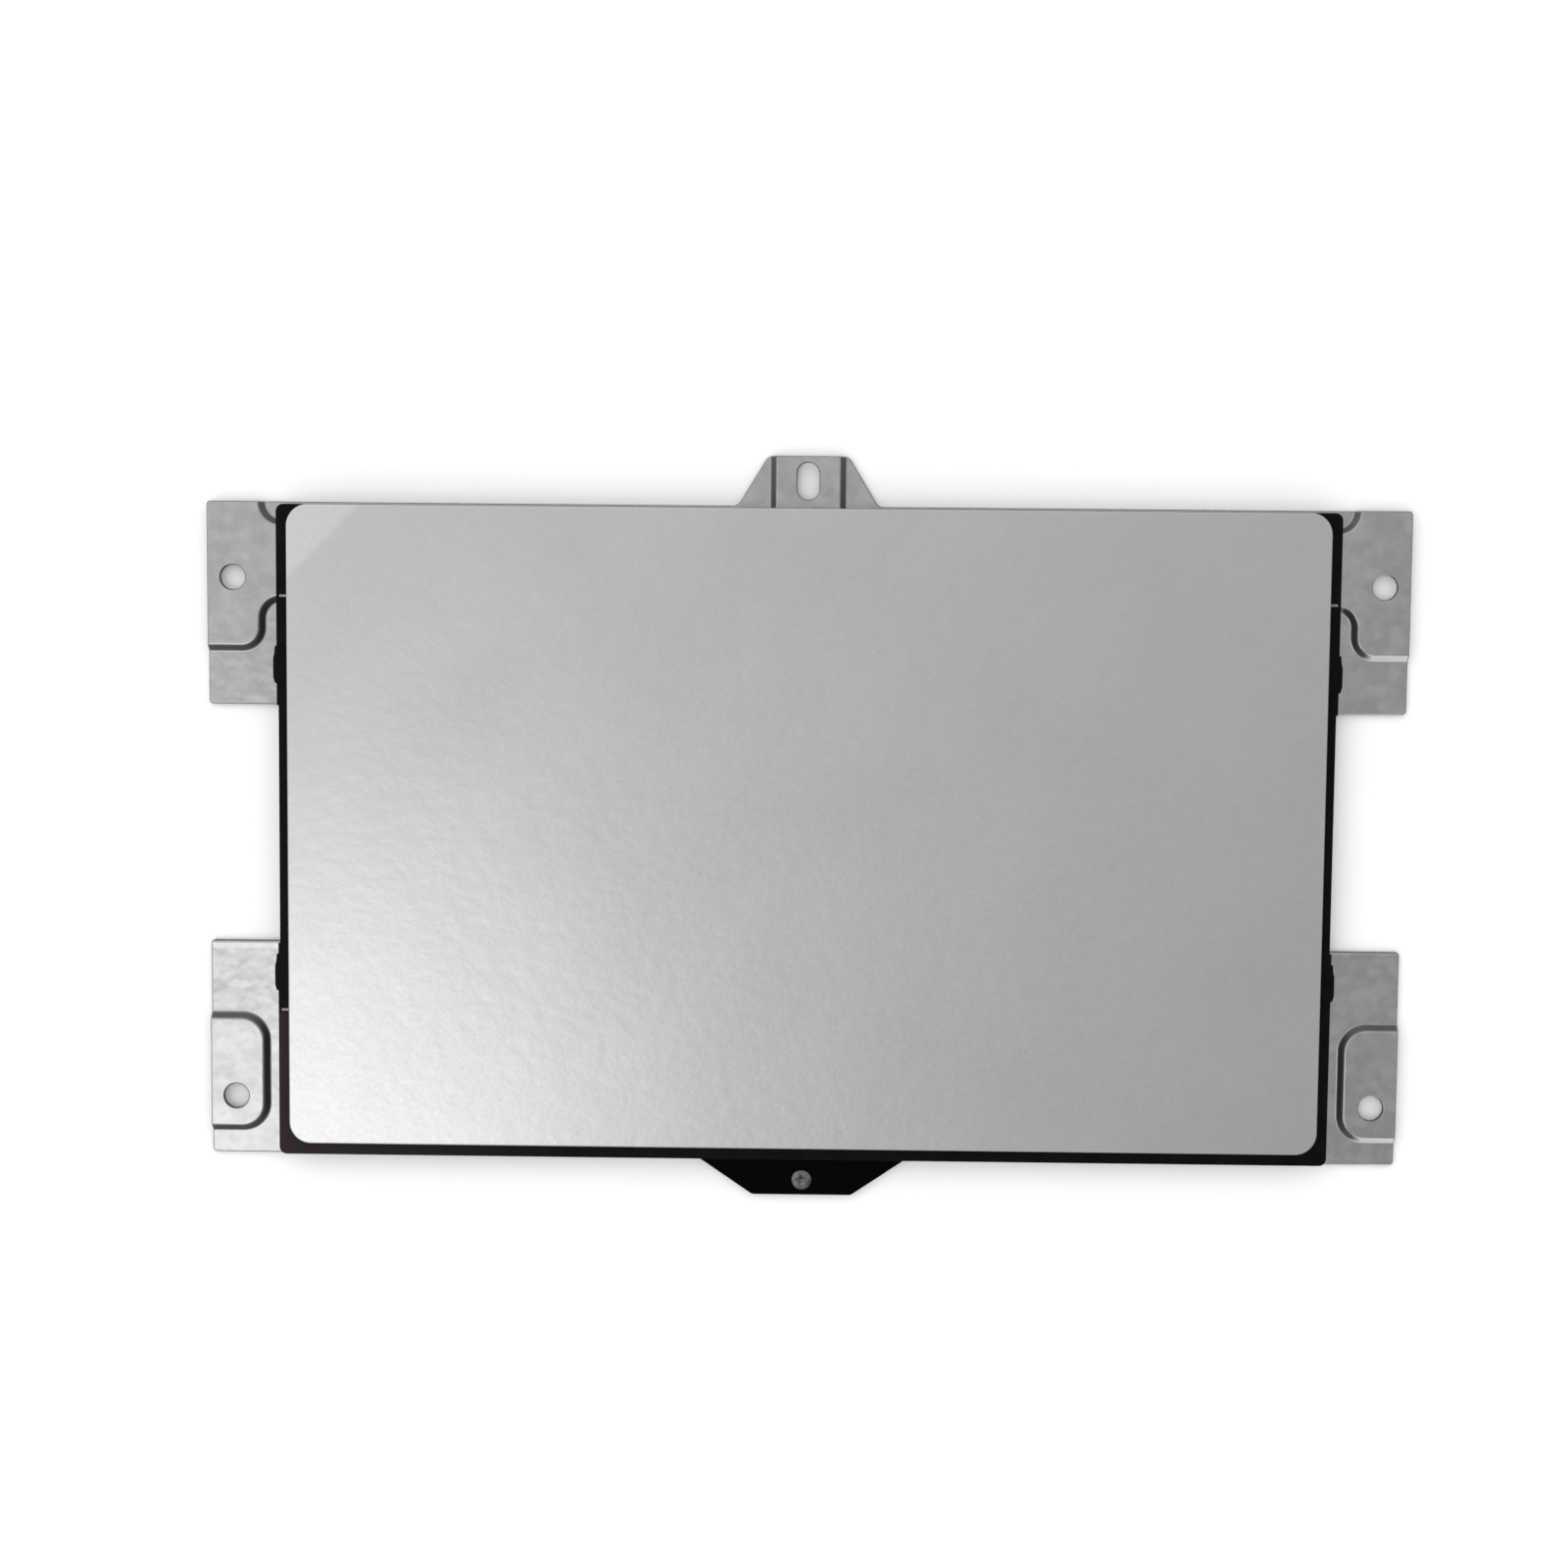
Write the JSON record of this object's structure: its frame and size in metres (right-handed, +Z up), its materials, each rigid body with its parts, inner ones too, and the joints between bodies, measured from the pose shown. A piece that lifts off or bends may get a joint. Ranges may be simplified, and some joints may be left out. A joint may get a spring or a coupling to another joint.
{
  "type": "trackpad",
  "caption": "Laptop trackpad module: silver touch cover on a black sensor board, hung on spring leaves from a winged sheet-steel bracket, with a click switch over an anvil at the front.",
  "frame": {"origin": "middle of the module's plan box, on the underside of the mounting bracket", "axes": "+X to the right seen from above, +Y to the rear towards the slotted tab, +Z up out of the touch face"},
  "size_m": [0.1302, 0.0808, 0.0035],
  "materials": {
    "bracket_zinc": "zinc plated, mottled",
    "anvil_black": "black coated steel",
    "screw_steel": "plain",
    "rivet_steel": "pressed",
    "spring_steel": "rolled spring strip",
    "bumper_rubber": "matte",
    "cover_silver": "etched, silver backed",
    "glue_film": "clear film",
    "board_black": "black solder mask",
    "stiffener_steel": "cold rolled",
    "chip_black": "moulded",
    "capacitor_tan": "fired, plated ends",
    "resistor_black": "glazed, plated ends",
    "connector_ivory": "moulded",
    "contact_gold": "gold plated",
    "solder_tin": "tinned",
    "latch_brown": "moulded",
    "switch_body": "moulded",
    "switch_frame": "stamped",
    "plunger_white": "moulded"
  },
  "bodies": {
    "bracket": {"mounting_bracket": "bracket_zinc", "click_anvil": "anvil_black", "anvil_screw": "screw_steel", "anvil_rivets": "rivet_steel", "hinge_leaf_left": "spring_steel", "hinge_leaf_right": "spring_steel", "leaf_rivets": "rivet_steel", "front_bumpers": "bumper_rubber"},
    "touch_pad": {"touch_cover": "cover_silver", "cover_adhesive": "glue_film", "sensor_board": "board_black", "board_adhesive": "glue_film", "stiffener_plate": "stiffener_steel", "pad_rivets": "rivet_steel", "touch_controller": "chip_black", "board_capacitors": "capacitor_tan", "board_resistors": "resistor_black", "cable_connector": "connector_ivory", "connector_contacts": "contact_gold", "connector_anchors": "solder_tin", "switch_base": "switch_body", "switch_cover": "switch_frame", "switch_dome": "spring_steel", "switch_terminals": "solder_tin"},
    "plunger": {"switch_plunger": "plunger_white"},
    "latch": {"connector_latch": "latch_brown"}
  },
  "joints": [
    {"name": "pad_click", "type": "hinge", "parent": "bracket", "child": "touch_pad", "pos_m": [0, 0.0246, 0.0013], "axis": [1, 0, 0], "range_deg": [0, 0.25], "stiffness_Nm_per_rad": 5, "springref_deg": -0.57, "deforming": ["hinge_leaf_left", "hinge_leaf_right"]},
    {"name": "plunger_press", "type": "slide", "parent": "touch_pad", "child": "plunger", "axis": [0, 0, 1], "range_m": [0, 0.00024], "deforming": ["switch_dome"]},
    {"name": "latch_flip", "type": "hinge", "parent": "touch_pad", "child": "latch", "pos_m": [-0.0105, 0.00488, 0.00097], "axis": [1, 0, 0], "range_deg": [0, 90]}
  ],
  "couplings": [
    {"joint": "plunger_press", "follows": "pad_click", "m_per_rad": 0.0526}
  ]
}
